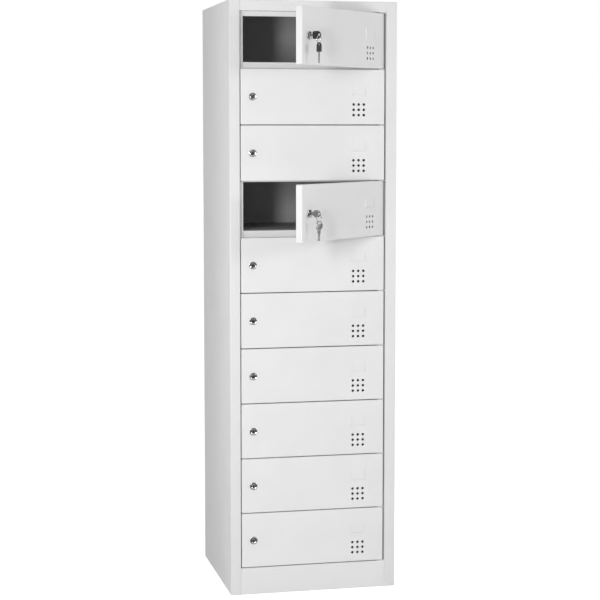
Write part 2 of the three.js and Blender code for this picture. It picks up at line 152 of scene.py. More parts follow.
def carve(obj, tool, operation="DIFFERENCE"):
    """Cuts the tool out of the object, or joins it on, and removes the tool."""
    modifier = obj.modifiers.new("carve", "BOOLEAN")
    modifier.operation = operation
    modifier.solver = "EXACT"
    modifier.object = tool
    bake(obj)
    bpy.data.objects.remove(tool)
    return obj


def bevel(obj, width, segments=2, limit=40):
    modifier = obj.modifiers.new("bevel", "BEVEL")
    modifier.width = width * MM
    modifier.segments = segments
    modifier.limit_method = "ANGLE"
    modifier.angle_limit = math.radians(limit)
    modifier.harden_normals = False
    return bake(obj)


def shade(obj, limit=32):
    """Smooth faces, with an edge kept sharp where the surface turns by more than the limit."""
    work = bmesh.new()
    work.from_mesh(obj.data)
    for face in work.faces:
        face.smooth = True
    for edge in work.edges:
        edge.smooth = edge.calc_face_angle(0) < math.radians(limit)
    work.to_mesh(obj.data)
    work.free()
    return obj


def joined(name, parts):
    """One object from several, which keep their own shells."""
    work = bmesh.new()
    for part in parts:
        work.from_mesh(part.data)
    mesh = bpy.data.meshes.new(name)
    work.to_mesh(mesh)
    work.free()
    for part in parts:
        bpy.data.objects.remove(part)
    return linked(name, mesh)


def copy_at(source, name, matrix):
    """A copy of the mesh, moved by a matrix in metres, so that its object stays at the origin."""
    mesh = source.data.copy()
    mesh.transform(matrix)
    mesh.name = name
    return linked(name, mesh)


def block(x0, x1, y0, y1, z0, z1, name="block"):
    points = [(x, y, z) for x in (x0, x1) for y in (y0, y1) for z in (z0, z1)]
    faces = [(0, 1, 3, 2), (4, 6, 7, 5), (0, 4, 5, 1), (2, 3, 7, 6), (0, 2, 6, 4), (1, 5, 7, 3)]
    return make(name, points, faces)


def loft(rings, cap_first=False, cap_last=False):
    """Points and faces through closed rings that all have the same number of points."""
    count = len(rings[0])
    points = [p for ring in rings for p in ring]
    faces = []
    for level in range(len(rings) - 1):
        for i in range(count):
            a = level * count + i
            b = level * count + (i + 1) % count
            faces.append((a, b, b + count, a + count))
    if cap_first:
        faces.append(tuple(range(count)))
    if cap_last:
        faces.append(tuple(range(len(points) - count, len(points))))
    return points, faces


def solid_loft(name, rings):
    """An object through rings, closed at both ends."""
    return make(name, *loft(rings, cap_first=True, cap_last=True))


def turned(profile, sides, x=0.0, z=0.0, closed=False):
    """Points and faces of a body turned about a line along Y. The profile is (radius, y)."""
    rings = []
    for radius, y in profile:
        ring = []
        for i in range(sides):
            angle = 2 * math.pi * i / sides
            ring.append((x + radius * math.cos(angle), y, z + radius * math.sin(angle)))
        rings.append(ring)
    if closed:
        return loft(rings + rings[:1])
    return loft(rings, cap_first=True, cap_last=True)


def extruded(outline, thickness, edge, holes=(), name="plate"):
    """A plate of a 2-D outline in the YZ plane, with rounded edges, centred on x = 0."""
    curve = bpy.data.curves.new(name, "CURVE")
    curve.dimensions = "2D"
    curve.fill_mode = "BOTH"
    curve.extrude = (thickness / 2 - edge) * MM
    curve.bevel_depth = edge * MM
    curve.bevel_resolution = 2
    curve.offset = -edge * MM
    for loop in (outline, *holes):
        spline = curve.splines.new("POLY")
        spline.points.add(len(loop) - 1)
        for point, (y, z) in zip(spline.points, loop):
            point.co = (y * MM, z * MM, 0, 1)
        spline.use_cyclic_u = True
    holder = linked(name, curve)
    graph = bpy.context.evaluated_depsgraph_get()
    mesh = bpy.data.meshes.new_from_object(holder.evaluated_get(graph))
    bpy.data.objects.remove(holder)
    turn_outwards(mesh)
    # The curve lies in XY, so its X turns to Y and its Y to Z.
    stand = Matrix(((0, 0, 1, 0), (1, 0, 0, 0), (0, 1, 0, 0), (0, 0, 0, 1)))
    mesh.transform(stand)
    return linked(name, mesh)


def arc(centre, radius, first, last, steps):
    """Points along an arc, from the first angle to the last, in degrees."""
    points = []
    for i in range(steps + 1):
        angle = math.radians(first + (last - first) * i / steps)
        points.append((centre[0] + radius * math.cos(angle), centre[1] + radius * math.sin(angle)))
    return points


def circle(centre, radius, sides):
    return arc(centre, radius, 0, 360, sides)[:-1]


def rounded_rectangle(x0, x1, z0, z1, radius, steps=4):
    corners = ((x1 - radius, z1 - radius, 0), (x0 + radius, z1 - radius, 90),
               (x0 + radius, z0 + radius, 180), (x1 - radius, z0 + radius, 270))
    points = []
    for x, z, first in corners:
        points += arc((x, z), radius, first, first + 90, steps)
    return points


# ---- Bent sheets ----

FOLD_RADIUS = 2.0
FOLD_STEPS = 5
SHEET_EDGE = 0.25


def bent_section(points):
    """Both faces of a bent sheet's section, as pairs of points. The points given are the outer
    face's corners, and the metal lies on its left."""
    line = [Vector(p) for p in points]

    def left_of(direction):
        return Vector((-direction.y, direction.x))

    def square_end(point, direction):
        return point, point + left_of(direction) * SHEET

    pairs = [square_end(line[0], (line[1] - line[0]).normalized())]
    for before, corner, after in zip(line, line[1:], line[2:]):
        arriving = (corner - before).normalized()
        leaving = (after - corner).normalized()
        turn = math.atan2(arriving.x * leaving.y - arriving.y * leaving.x, arriving.dot(leaving))
        side = math.copysign(1, turn)
        face_radius = FOLD_RADIUS if side > 0 else FOLD_RADIUS - SHEET
        metal_radius = face_radius - side * SHEET
        start = corner - arriving * face_radius * math.tan(abs(turn) / 2)
        centre = start + left_of(arriving) * side * face_radius
        for step in range(FOLD_STEPS + 1):
            spoke = Matrix.Rotation(turn * step / FOLD_STEPS, 2) @ (left_of(arriving) * -side)
            pairs.append((centre + spoke * face_radius, centre + spoke * metal_radius))
    pairs.append(square_end(line[-1], (line[-1] - line[-2]).normalized()))
    return pairs


def bent_sheet(name, points, start, end, place):
    """A bent sheet. place(a, b, along) turns a section point and a length into a 3-D point."""
    pairs = bent_section(points)
    count = 2 * len(pairs)
    solid = [place(p.x, p.y, along) for along in (start, end) for pair in pairs for p in pair]
    faces = []
    for i in range(0, count - 2, 2):
        face, metal, next_face, next_metal = i, i + 1, i + 2, i + 3
        faces.append((face, next_face, next_face + count, face + count))
        faces.append((metal, metal + count, next_metal + count, next_metal))
        faces.append((face, metal, next_metal, next_face))
        faces.append((face + count, next_face + count, next_metal + count, metal + count))
    faces.append((0, count, count + 1, 1))
    faces.append((count - 2, count - 1, 2 * count - 1, 2 * count - 2))
    return make(name, solid, faces)


def upright(name, points, z0, z1):
    """A bent sheet whose section lies in the XY plane."""
    return bent_sheet(name, points, z0, z1, lambda a, b, along: (a, b, along))


def crosswise(name, points, x0, x1):
    """A bent sheet whose section lies in the YZ plane."""
    return bent_sheet(name, points, x0, x1, lambda a, b, along: (along, a, b))


# ---- Materials ----


# The part of a noise pattern's values that is spread over the whole range.
PATTERN_LOW = 0.3
PATTERN_HIGH = 0.7


class Finish:
    """A Principled material with noise patterns measured in metres of the piece's own space."""

    def __init__(self, name, roughness, metallic=0.0):
        self.material = bpy.data.materials.new(name)
        self.material.use_nodes = True
        self.tree = self.material.node_tree
        self.shader = self.tree.nodes["Principled BSDF"]
        self.shader.inputs["Roughness"].default_value = roughness
        self.shader.inputs["Metallic"].default_value = metallic
        self.place = self.tree.nodes.new("ShaderNodeTexCoord").outputs["Object"]
        self.normal = None

    def noise(self, per_metre, detail=2.0, stretch=(1, 1, 1)):
        mapping = self.tree.nodes.new("ShaderNodeMapping")
        mapping.inputs["Scale"].default_value = stretch
        texture = self.tree.nodes.new("ShaderNodeTexNoise")
        texture.inputs["Scale"].default_value = per_metre
        texture.inputs["Detail"].default_value = detail
        self.tree.links.new(self.place, mapping.inputs["Vector"])
        self.tree.links.new(mapping.outputs["Vector"], texture.inputs["Vector"])
        return texture.outputs["Fac"]

    def range(self, value, low, high, socket):
        """Spreads a pattern from low to high and plugs it into a socket of the shader."""
        spread = self.tree.nodes.new("ShaderNodeMapRange")
        spread.inputs["From Min"].default_value = PATTERN_LOW
        spread.inputs["From Max"].default_value = PATTERN_HIGH
        spread.inputs["To Min"].default_value = low
        spread.inputs["To Max"].default_value = high
        self.tree.links.new(value, spread.inputs["Value"])
        self.tree.links.new(spread.outputs["Result"], self.shader.inputs[socket])

    def colour(self, value, dark, light):
        """Colours the surface from dark to light by a pattern."""
        ramp = self.tree.nodes.new("ShaderNodeValToRGB")
        ramp.color_ramp.elements[0].position = PATTERN_LOW
        ramp.color_ramp.elements[0].color = (*dark, 1)
        ramp.color_ramp.elements[1].position = PATTERN_HIGH
        ramp.color_ramp.elements[1].color = (*light, 1)
        self.tree.links.new(value, ramp.inputs["Fac"])
        self.tree.links.new(ramp.outputs["Color"], self.shader.inputs["Base Color"])

    def bump(self, value, height_mm, strength=1.0):
        """Adds a relief to the surface. Later calls lie on top of earlier ones."""
        relief = self.tree.nodes.new("ShaderNodeBump")
        relief.inputs["Distance"].default_value = height_mm * MM
        relief.inputs["Strength"].default_value = strength
        self.tree.links.new(value, relief.inputs["Height"])
        if self.normal:
            self.tree.links.new(self.normal, relief.inputs["Normal"])
        self.normal = relief.outputs["Normal"]
        self.tree.links.new(self.normal, self.shader.inputs["Normal"])


def grey(value):
    return (value, value, value)


def enamel(name, tone, spread, roughness):
    """Powder coat: a slightly uneven tone, the orange peel of the coat, and a sheet that isn't
    perfectly flat under it."""
    finish = Finish(name, roughness)
    uneven = finish.noise(per_metre=9, detail=6)
    dull_and_bright = finish.noise(per_metre=120, detail=3)
    sheet_waves = finish.noise(per_metre=5, detail=1)
    orange_peel = finish.noise(per_metre=420, detail=2)
    finish.colour(uneven, grey(tone - spread), grey(tone + spread))
    finish.range(dull_and_bright, roughness - 0.05, roughness + 0.05, "Roughness")
    finish.bump(sheet_waves, height_mm=0.8, strength=0.5)
    finish.bump(orange_peel, height_mm=0.035)
    finish.shader.inputs["Specular IOR Level"].default_value = 0.4
    return finish.material


def bright_plate(name, tone, roughness):
    """Nickel plating over a casting: bright, with a faint cloudiness and fine scratches."""
    finish = Finish(name, roughness, metallic=1.0)
    cloudiness = finish.noise(per_metre=300, detail=4)
    wear = finish.noise(per_metre=900, detail=3, stretch=(1, 1, 6))
    scratches = finish.noise(per_metre=700, detail=2, stretch=(1, 1, 5))
    finish.colour(cloudiness, grey(tone - 0.08), grey(tone + 0.04))
    finish.range(wear, roughness * 0.7, roughness * 1.5, "Roughness")
    finish.bump(scratches, height_mm=0.01)
    return finish.material


def brushed_steel(name, tone, roughness):
    """Zinc-plated steel, brushed along its length."""
    finish = Finish(name, roughness, metallic=1.0)
    patches = finish.noise(per_metre=260, detail=5)
    wear = finish.noise(per_metre=1500, detail=2, stretch=(1, 1, 0.06))
    brushing = finish.noise(per_metre=2200, detail=2, stretch=(1, 1, 0.05))
    finish.colour(patches, grey(tone - 0.1), grey(tone + 0.06))
    finish.range(wear, roughness - 0.08, roughness + 0.1, "Roughness")
    finish.bump(brushing, height_mm=0.012)
    return finish.material


def moulded(name, tone, roughness):
    """Black moulded plastic with a fine spark-eroded grain."""
    finish = Finish(name, roughness)
    patches = finish.noise(per_metre=200, detail=4)
    handling = finish.noise(per_metre=500, detail=3)
    grain = finish.noise(per_metre=2600, detail=3)
    finish.colour(patches, grey(tone * 0.8), grey(tone * 1.25))
    finish.range(handling, roughness - 0.06, roughness + 0.08, "Roughness")
    finish.bump(grain, height_mm=0.03)
    return finish.material


CASING = enamel("casing_enamel", tone=0.80, spread=0.012, roughness=0.42)
DOOR_COAT = enamel("door_enamel", tone=0.82, spread=0.014, roughness=0.42)
# Painted shade: the inner coat is made darker than the casing's to stand in for the shade inside the compartments
# and in the gap by the hinge strip.
INNER_PAINTED_SHADE = enamel("inner_enamel", tone=0.42, spread=0.02, roughness=0.55)
CHROME = bright_plate("lock_chrome", tone=0.66, roughness=0.12)
WIRE = bright_plate("ring_wire", tone=0.7, roughness=0.2)
ZINC = brushed_steel("zinc_steel", tone=0.34, roughness=0.42)
CAP = moulded("key_cap", tone=0.022, roughness=0.34)
RAIL = moulded("rail_plastic", tone=0.035, roughness=0.45)


def dress(obj, material, body, node=None):
    """Gives a piece its material, puts it on its body, and hides the node it stands for."""
    obj.data.materials.clear()
    obj.data.materials.append(material)
    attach(obj, body)
    if node:
        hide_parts(node)
    return obj


# ---- Camera, light and floor ----

CAMERA_PLACE = (-1.174, -5.0697, 1.4592)
CAMERA_YAW = 12.6
CAMERA_PITCH = -5.051
CAMERA_LENS = 100.27
CAMERA_SHIFT = -0.04
CAMERA_SENSOR = 36


def add_camera():
    data = bpy.data.cameras.new("camera")
    data.sensor_width = CAMERA_SENSOR
    data.lens = CAMERA_LENS
    data.shift_y = CAMERA_SHIFT
    data.clip_start = 0.1
    data.clip_end = 100
    camera = linked("camera", data)
    camera.location = CAMERA_PLACE
    camera.rotation_euler = (math.radians(90 + CAMERA_PITCH), 0, math.radians(-CAMERA_YAW))
    bpy.context.scene.camera = camera


def add_lamp(name, place, aim, power, width, height):
    """A soft box that shines from its place towards its aim."""
    data = bpy.data.lights.new(name, "AREA")
    data.shape = "RECTANGLE"
    data.size = width
    data.size_y = height
    data.energy = power
    lamp = linked(name, data)
    lamp.location = place
    lamp.rotation_euler = (Vector(aim) - Vector(place)).to_track_quat("-Z", "Y").to_euler()
    lamp.visible_camera = False


AMBIENT = 0.5
ROOM_DARK = 0.05
ROOM_BRIGHT = 1.0
# Places on the way from straight down (0) to straight up (1), where the room that metal mirrors
# stops being dark and where it has become bright.
ROOM_DARK_UP_TO = 0.48
ROOM_BRIGHT_FROM = 0.75
FLOOR_HALF_SIZE = 40000
FLOOR_Z = -0.2
FLOOR_GLOW = 0.6
FLOOR_IN_METAL = 0.2
KEY_PLACE = (-1.52, -2.72, 1.5)
KEY_AIM = (-0.2, 0, 1.35)
KEY_WIDTH = 0.3
KEY_HEIGHT = 1.0
KEY_POWER = 38
SIDE_PLACE = (3.0, -1.9, 1.9)
SIDE_AIM = (0, 0, 1.1)
SIDE_SIZE = 0.5
SIDE_POWER = 26
FLANK_PLACE = (-3.2, 0.05, 1.1)
FLANK_AIM = (-0.265, 0.235, 0.95)
FLANK_SIZE = 1.4
FLANK_POWER = 20


def add_world():
    """White behind the object, a soft even light on it, and a room with a dark side for metal to
    mirror."""
    world = bpy.data.worlds.new("world")
    world.use_nodes = True
    nodes = world.node_tree.nodes
    links = world.node_tree.links
    nodes.clear()
    path = nodes.new("ShaderNodeLightPath")
    even = nodes.new("ShaderNodeBackground")
    even.inputs["Color"].default_value = (*grey(AMBIENT), 1)
    white = nodes.new("ShaderNodeBackground")
    white.inputs["Color"].default_value = (*grey(1), 1)
    room = nodes.new("ShaderNodeBackground")
    direction = nodes.new("ShaderNodeTexCoord")
    split = nodes.new("ShaderNodeSeparateXYZ")
    ramp = nodes.new("ShaderNodeValToRGB")
    ramp.color_ramp.elements[0].position = ROOM_DARK_UP_TO
    ramp.color_ramp.elements[0].color = (*grey(ROOM_DARK), 1)
    ramp.color_ramp.elements[1].position = ROOM_BRIGHT_FROM
    ramp.color_ramp.elements[1].color = (*grey(ROOM_BRIGHT), 1)
    half = nodes.new("ShaderNodeMapRange")
    half.inputs["From Min"].default_value = -1
    links.new(direction.outputs["Generated"], split.inputs["Vector"])
    links.new(split.outputs["Z"], half.inputs["Value"])
    links.new(half.outputs["Result"], ramp.inputs["Fac"])
    links.new(ramp.outputs["Color"], room.inputs["Color"])
    for_metal = nodes.new("ShaderNodeMixShader")
    links.new(path.outputs["Is Glossy Ray"], for_metal.inputs["Fac"])
    links.new(even.outputs["Background"], for_metal.inputs[1])
    links.new(room.outputs["Background"], for_metal.inputs[2])
    for_camera = nodes.new("ShaderNodeMixShader")
    links.new(path.outputs["Is Camera Ray"], for_camera.inputs["Fac"])
    links.new(for_metal.outputs["Shader"], for_camera.inputs[1])
    links.new(white.outputs["Background"], for_camera.inputs[2])
    output = nodes.new("ShaderNodeOutputWorld")
    links.new(for_camera.outputs["Shader"], output.inputs["Surface"])
    bpy.context.scene.world = world


def add_floor():
    """A large plain floor, a little below the locker's foot so that the two don't flicker. It
    looks as white as the room behind it, gives no more light than a pale floor does, and metal
    mirrors it darker, like a floor outside the lamps' reach."""
    half = FLOOR_HALF_SIZE
    corners = [(x, y, FLOOR_Z) for x, y in ((-half, -half), (half, -half), (half, half), (-half, half))]
    floor = make("floor", corners, [(0, 1, 2, 3)])
    finish = Finish("floor_paint", roughness=0.9)
    finish.colour(finish.noise(per_metre=2, detail=4), grey(0.86), grey(0.9))
    finish.shader.inputs["Specular IOR Level"].default_value = 0.1
    finish.shader.inputs["Emission Color"].default_value = (1, 1, 1, 1)
    seen = finish.tree.nodes.new("ShaderNodeLightPath")
    glow = finish.tree.nodes.new("ShaderNodeMath")
    glow.operation = "MULTIPLY"
    glow.inputs[1].default_value = FLOOR_GLOW
    finish.tree.links.new(seen.outputs["Is Camera Ray"], glow.inputs[0])
    finish.tree.links.new(glow.outputs["Value"], finish.shader.inputs["Emission Strength"])
    dull = finish.tree.nodes.new("ShaderNodeBsdfDiffuse")
    dull.inputs["Color"].default_value = (*grey(FLOOR_IN_METAL), 1)
    mirrored = finish.tree.nodes.new("ShaderNodeMixShader")
    finish.tree.links.new(seen.outputs["Is Glossy Ray"], mirrored.inputs["Fac"])
    finish.tree.links.new(finish.shader.outputs["BSDF"], mirrored.inputs[1])
    finish.tree.links.new(dull.outputs["BSDF"], mirrored.inputs[2])
    output = next(node for node in finish.tree.nodes if node.type == "OUTPUT_MATERIAL")
    finish.tree.links.new(mirrored.outputs["Shader"], output.inputs["Surface"])
    floor.data.materials.append(finish.material)


def add_studio():
    add_camera()
    add_world()
    add_floor()
    add_lamp("key_lamp", KEY_PLACE, KEY_AIM, KEY_POWER, KEY_WIDTH, KEY_HEIGHT)
    add_lamp("side_lamp", SIDE_PLACE, SIDE_AIM, SIDE_POWER, SIDE_SIZE, SIDE_SIZE)
    add_lamp("flank_lamp", FLANK_PLACE, FLANK_AIM, FLANK_POWER, FLANK_SIZE, FLANK_SIZE)
    bpy.context.scene.view_settings.view_transform = "Standard"


# ---- Casing ----


def paint_inner_shade(obj, inside):
    """Gives the darker inner coat, which is painted shade, to the faces whose middle, in millimetres, lies inside.
    """
    obj.data.materials.append(INNER_PAINTED_SHADE)
    for face in obj.data.polygons:
        if inside(face.center / MM):
            face.material_index = 1


def add_left_side():
    stop = FRONT + STOP_DEPTH
    sheet = upright("left_side_sheet", [
        (LEFT, BACK),
        (LEFT, FRONT),
        (OPENING_LEFT, FRONT),
        (OPENING_LEFT, stop),
        (left_high.x, stop),
    ], 0, HEIGHT)
    # The return and the stop lip end below the top panel, and the lip ends above the plinth.
    past_lip = left_high.x + OVERCUT
    carve(sheet, block(INNER_LEFT, past_lip, FRONT + FOLD_RADIUS, stop + SHEET + GAP,
                       OPENING_TOP - GAP, HEIGHT + OVERCUT))
    carve(sheet, block(OPENING_LEFT, past_lip, stop - OVERCUT, stop + SHEET + OVERCUT,
                       -OVERCUT, plinth_high.z + GAP))
    bevel(sheet, SHEET_EDGE)
    dress(shade(sheet), CASING, "cabinet", "left_side_panel")
    # The faces inside the compartments get the inner coat as painted shade.
    paint_inner_shade(sheet, lambda place: place.x > LEFT + SHEET / 2 and place.y > stop + SHEET / 2)


def add_right_side():
    sheet = upright("right_side_sheet", [
        (OPENING_RIGHT, FRONT + RETURN_DEPTH),
        (OPENING_RIGHT, FRONT),
        (RIGHT, FRONT),
        (RIGHT, BACK),
    ], 0, HEIGHT)
    # The return ends below the top panel.
    carve(sheet, block(OPENING_RIGHT - OVERCUT, INNER_RIGHT, FRONT + FOLD_RADIUS,
                       FRONT + RETURN_DEPTH + GAP, OPENING_TOP - GAP, HEIGHT + OVERCUT))
    bevel(sheet, SHEET_EDGE)
    dress(shade(sheet), CASING, "cabinet", "right_side_panel")


def add_top():
    """Top sheet, front rail and lintel. The rail meets the stiles edge to edge, welded and ground."""
    lintel = FRONT + LINTEL_DEPTH
    sheet = crosswise("top_sheet", [
        (BACK - SHEET - GAP, HEIGHT),
        (FRONT, HEIGHT),
        (FRONT, OPENING_TOP),
        (lintel, OPENING_TOP),
        (lintel, top_low.z),
    ], INNER_LEFT, INNER_RIGHT)
    for x0, x1 in ((INNER_LEFT - OVERCUT, OPENING_LEFT), (OPENING_RIGHT, INNER_RIGHT + OVERCUT)):
        carve(sheet, block(x0, x1, FRONT - OVERCUT, FRONT + FOLD_RADIUS,
                           OPENING_TOP - OVERCUT, HEIGHT + OVERCUT))
    dress(shade(sheet), CASING, "cabinet", "top_panel")


def add_plinth():
    """Kick panel, with a sill at its top that is a little narrower than the flange at its foot."""
    sill_narrower = 7
    sheet = crosswise("plinth_sheet", [
        (plinth_high.y - sill_narrower, plinth_high.z),
        (FRONT, plinth_high.z),
        (FRONT, 0),
        (plinth_high.y, 0),
    ], OPENING_LEFT, OPENING_RIGHT)
    dress(shade(sheet), CASING, "cabinet", "plinth")


def add_shelf(node):
    """A compartment floor: a tray, a front flange and a hem. The front flange has the casing's light coat, and the
    tray the darker inner coat as painted shade inside the compartment."""
    low, high = box_mm(node)
    hem = 10
    tray = crosswise(f"{node}_tray", [
        (high.y, high.z),
        (low.y, high.z),
        (low.y, low.z),
        (low.y + hem, low.z),
    ], low.x, high.x)
    bevel(tray, SHEET_EDGE)
    # The tray keeps the inner coat as painted shade; the flange faces get the casing's coat.
    dress(shade(tray), INNER_PAINTED_SHADE, "cabinet", node)
    tray.data.materials.append(CASING)
    bend_rear = (low.y + FOLD_RADIUS) * MM
    for face in tray.data.polygons:
        if face.center.y < bend_rear:
            face.material_index = 1


def add_flat_sheets():
    """The back panel and the inner rear wall are flat, so their own solids stay."""
    # The inner rear wall gets the darker inner coat as painted shade.
    for node, material in (("back_panel", CASING), ("inner_rear_wall", INNER_PAINTED_SHADE)):
        obj = frame["nodes"][node]
        obj.data.materials.clear()
        obj.data.materials.append(material)


def add_hinge_strip(node):
    """A length of the strip inside the right stile, its tabs with rounded noses, and the pins. The strip has the
    darker inner coat as painted shade, which darkens the gap beside the doors, and the tabs the casing's."""
    low, high = box_mm(node)
    strip_thick = 1.5
    tab_thick = 1.5
    tab_front = FRONT + 1
    tab_rear = PIN_Y + 8
    strip_front = FRONT + 2
    reach_below = 1
    reach_above = 2
    pin_radius = 2.5
    pin_reach = 6
    pin_tip = 0.6
    pin_sides = 20
    strip = block(high.x - strip_thick, high.x, strip_front, DOOR_REAR, low.z, high.z, "strip")
    bevel(strip, SHEET_EDGE)
    parts = []
    middle_y = (tab_front + tab_rear) / 2
    nose = (tab_rear - tab_front) / 2
    outline = [(high.x - strip_thick / 2, tab_front), (high.x - strip_thick / 2, tab_rear)]
    outline += arc((low.x + nose, middle_y), nose, 90, 270, 10)
    for k in range(len(DOORS) + 1):
        z = FIRST_GAP - k * DOOR_PITCH
        if not low.z - reach_below < z < high.z + reach_above:
            continue
        rings = [[(x, y, z + side * tab_thick / 2) for x, y in outline] for side in (-1, 1)]
        parts.append(bevel(solid_loft("tab", rings), SHEET_EDGE))
        above = z if k == 0 else z + tab_thick / 2 + pin_reach
        under = z if k == len(DOORS) else z - tab_thick / 2 - pin_reach
        profile = [(pin_radius - pin_tip, under), (pin_radius, under + pin_tip),
                   (pin_radius, above - pin_tip), (pin_radius - pin_tip, above)]
        rings = [[(x, y, height) for x, y in circle((PIN_X, PIN_Y), radius, pin_sides)]
                 for radius, height in profile]
        parts.append(solid_loft("pin", rings))
    # The strip plate's darker coat is painted shade in the gap.
    dress(copy_at(shade(strip), f"{node}_plate", Matrix()), INNER_PAINTED_SHADE, "cabinet", node)
    dress(shade(joined(f"{node}_tabs", parts)), CASING, "cabinet")
    bpy.data.objects.remove(strip)


def add_casing():
    add_left_side()
    add_right_side()
    add_top()
    add_plinth()
    for node in SHELVES:
        add_shelf(node)
    add_flat_sheets()
    for n in numbered("hinge_strip_"):
        add_hinge_strip(f"hinge_strip_{n}")


# ---- Doors ----

CORNER_RADIUS = 3.0
DOOR_LIP = 12
VENT_RADIUS = 4
VENT_PITCH = 16.4
VENT_DROP = 124.5
VENT_SIDES = 24
BARREL_HOLE_RADIUS = 10
BARREL_HOLE_SIDES = 32
PIN_HOLE_RADIUS = 3
PIN_HOLE_SIDES = 20
FITTINGS_X = OPENING_RIGHT - 88
LABEL_WIDTH = 52
LABEL_DROP = 49
LABEL_HEIGHT = 33
LABEL_BAR = 4.5
LABEL_STAND = 1.4


def door_ring(inset, y, radius):
    outline = rounded_rectangle(door_low.x + inset, door_high.x - inset, -DOOR_HALF + inset,
                                DOOR_HALF - inset, radius)
    return [(x, y, z) for x, z in outline]


def door_pan():
    """A pan folded back on all four sides, with a lip turned inwards round its rear."""
    inner_fold = FOLD_RADIUS - SHEET
    lip_radius = CORNER_RADIUS
    edge = door_ring(DOOR_LIP, DOOR_REAR, lip_radius)
    outer = [edge]
    inner = [edge, door_ring(DOOR_LIP, DOOR_REAR - SHEET, lip_radius)]
    turns = [90 * i / FOLD_STEPS for i in range(FOLD_STEPS + 1)]
    for angle in turns:
        bend = 1 - math.sin(math.radians(angle))
        rise = 1 - math.cos(math.radians(angle))
        inset = FOLD_RADIUS * bend
        outer.append(door_ring(inset, DOOR_REAR - FOLD_RADIUS * rise, CORNER_RADIUS - inset))
        inset = inner_fold * bend
        inner.append(door_ring(SHEET + inset, DOOR_REAR - SHEET - inner_fold * rise,
                               CORNER_RADIUS - SHEET - inset))
    for angle in turns:
        bend = 1 - math.cos(math.radians(angle))
        rise = 1 - math.sin(math.radians(angle))
        inset = FOLD_RADIUS * bend
        outer.append(door_ring(inset, FRONT + FOLD_RADIUS * rise, CORNER_RADIUS - inset))
        inset = inner_fold * bend
        inner.append(door_ring(SHEET + inset, FRONT + SHEET + inner_fold * rise,
                               CORNER_RADIUS - SHEET - inset))
    points, faces = loft(outer, cap_last=True)
    more_points, more_faces = loft(inner, cap_last=True)
    faces += [tuple(i + len(points) for i in face) for face in more_faces]
    return make("door_pan", points + more_points, faces)


def vent_cutter(x, z):
    """A punch with a slightly wider mouth, for the soft rim that the coat gives a hole."""
    rim = 0.35
    profile = [(VENT_RADIUS + rim + OVERCUT, FRONT - OVERCUT), (VENT_RADIUS, FRONT + rim),
               (VENT_RADIUS, FRONT + SHEET + OVERCUT)]
    return make("vent", *turned(profile, VENT_SIDES, x, z))


def label_tab(length):
    """A tab pressed out of the sheet, with a slit under its inner edge for a card. It lies along
    Z, and its inner edge is at x = 0."""
    slit = 0.5
    slope = 1.4
    root = 0.4
    edge = 0.3
    bend = 0.4
    slit_bend = 0.6
    outline = [
        (0, -slit),
        (0, -LABEL_STAND + edge),
        (edge, -LABEL_STAND),
        (LABEL_BAR - slope - edge, -LABEL_STAND),
        (LABEL_BAR - slope + bend, -LABEL_STAND + edge),
        (LABEL_BAR, root),
        (LABEL_BAR - slope - bend, root),
        (LABEL_BAR - slope - slit_bend, -slit),
    ]
    rings = [[(x, FRONT + y, z) for x, y in outline] for z in (-length / 2, length / 2)]
    return solid_loft("label_tab", rings)


def add_label_holder(pan):
    """Three tabs that hold a card from its two sides and from below."""
    top = DOOR_HALF - LABEL_DROP
    middle = top - LABEL_HEIGHT / 2
    half_width = LABEL_WIDTH / 2 - LABEL_BAR
    foot_length = LABEL_WIDTH - 4 * LABEL_BAR
    places = (
        (LABEL_HEIGHT, Matrix.Translation((FITTINGS_X + half_width, 0, middle))),
        (LABEL_HEIGHT, Matrix.Translation((FITTINGS_X - half_width, 0, middle))
         @ Matrix.Scale(-1, 4, (1, 0, 0))),
        (foot_length, Matrix.Translation((FITTINGS_X, 0, top - LABEL_HEIGHT + LABEL_BAR))
         @ Matrix.Rotation(math.pi / 2, 4, "Y")),
    )
    for length, place in places:
        tab = label_tab(length)
        place = place.copy()
        place.translation *= MM
        tab.data.transform(place)
        turn_outwards(tab.data)
        carve(pan, tab, "UNION")


def finished_door():
    pan = door_pan()
    for column in (-1, 0, 1):
        for row in (-1, 0, 1):
            carve(pan, vent_cutter(FITTINGS_X + column * VENT_PITCH,
                                   DOOR_HALF - VENT_DROP + row * VENT_PITCH))
    barrel_hole = [(BARREL_HOLE_RADIUS, FRONT - OVERCUT),
                   (BARREL_HOLE_RADIUS, FRONT + SHEET + OVERCUT)]
    carve(pan, make("lock_hole", *turned(barrel_hole, BARREL_HOLE_SIDES, LOCK_X, 0)))
    pin_hole = circle((PIN_X, PIN_Y), PIN_HOLE_RADIUS, PIN_HOLE_SIDES)
    for side in (-1, 1):
        rings = [[(x, y, side * (DOOR_HALF + reach)) for x, y in pin_hole]
                 for reach in (-SHEET - OVERCUT, OVERCUT)]
        carve(pan, solid_loft("pin_hole", rings))
    add_label_holder(pan)
    return shade(pan)


def door_place(n):
    """Puts something made for the closed door, with its middle at z = 0, where door n rests."""
    hinge = joint(f"door_{n}_hinge")
    x, y, z = hinge["pos_m"]
    turn = Matrix.Rotation(math.radians(-hinge["range_deg"][0]), 4, "Z")
    return Matrix.Translation((x, y, z)) @ turn @ Matrix.Translation((-x, -y, 0))


# ---- Locks ----

BEZEL_RADIUS = 12
BEZEL_THICK = 2.7
BORE_RADIUS = 6.6
BARREL_RADIUS = 9.2
BARREL_DEPTH = 21
THREAD_PITCH = 1.5
NUT_RADIUS = 13
NUT_THICK = 3.5
PLUG_RADIUS = 6
CAM_DEPTH = 27
CAM_THICK = 2
CAM_WIDTH = 14
CAM_LENGTH = 35
KEYWAY_HEIGHT = 8.4
KEYWAY_WIDTH = 1.8
KEYWAY_DEPTH = 24
BEZEL_FACE = FRONT - BEZEL_THICK - GAP
PLUG_FACE = BEZEL_FACE + 0.4


